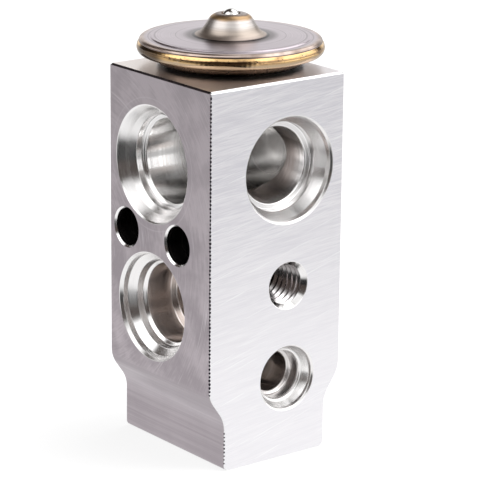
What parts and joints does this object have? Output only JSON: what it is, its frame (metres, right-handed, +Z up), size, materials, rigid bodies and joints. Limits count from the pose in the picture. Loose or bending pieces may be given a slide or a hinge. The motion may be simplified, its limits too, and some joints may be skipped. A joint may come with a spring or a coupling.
{
  "type": "expansion valve",
  "caption": "Block-type thermostatic expansion valve with stepped tube ports on two sides, a necked foot and a round diaphragm head on top.",
  "frame": {"origin": "on the valve axis, at the underside of the foot", "axes": "+Z up along the valve axis to the head; -X out of the face with two large ports and the clamp holes; -Y out of the sawn face with the fixing thread"},
  "size_m": [0.0326, 0.0325, 0.0754],
  "materials": {
    "block_aluminium": "satin, drawn on two sides and sawn on two",
    "cover_steel": "pressed stainless sheet, satin",
    "tinted_steel": "turned stainless steel, heat tinted",
    "weld_bead": "fused stainless steel with a gold heat tint",
    "ball_steel": "polished ball steel",
    "spring_steel": "spring steel",
    "rod_aluminium": "turned",
    "seal_rubber": "oil-resistant rubber",
    "screw_steel": "turned, plain"
  },
  "bodies": {
    "block_assembly": {"valve_block": "block_aluminium", "head_upper_cover": "cover_steel", "head_lower_cover": "tinted_steel", "rim_weld_bead": "weld_bead", "diaphragm": "spring_steel", "charge_plug": "ball_steel", "rod_seal_ring": "seal_rubber", "seal_retainer": "spring_steel", "head_gasket_ring": "seal_rubber"},
    "valve_train": {"thrust_disc": "screw_steel", "sensing_rod": "rod_aluminium", "push_pin": "ball_steel", "valve_ball": "ball_steel", "ball_carrier": "screw_steel", "damper_spring": "spring_steel", "valve_spring": "spring_steel"},
    "screw_feed": {"adjuster_seal_ring": "seal_rubber"},
    "adjusting_screw": {"adjusting_screw": "screw_steel"}
  },
  "joints": [
    {"name": "valve_lift", "type": "slide", "parent": "block_assembly", "child": "valve_train", "axis": [0, 0, -1], "range_m": [0, 0.0006], "stiffness_N_per_m": 300, "springref_m": -0.002, "deforming": ["valve_spring"]},
    {"name": "screw_advance", "type": "slide", "parent": "block_assembly", "child": "screw_feed", "axis": [0, 0, 1], "range_m": [-0.00067, 0.00084]},
    {"name": "screw_turn", "type": "hinge", "parent": "screw_feed", "child": "adjusting_screw", "pos_m": [0, 0, 0.0052], "axis": [0, 0, 1], "range_deg": [-240, 300]}
  ],
  "couplings": [
    {"joint": "screw_advance", "follows": "screw_turn", "m_per_rad": 0.00015915}
  ]
}
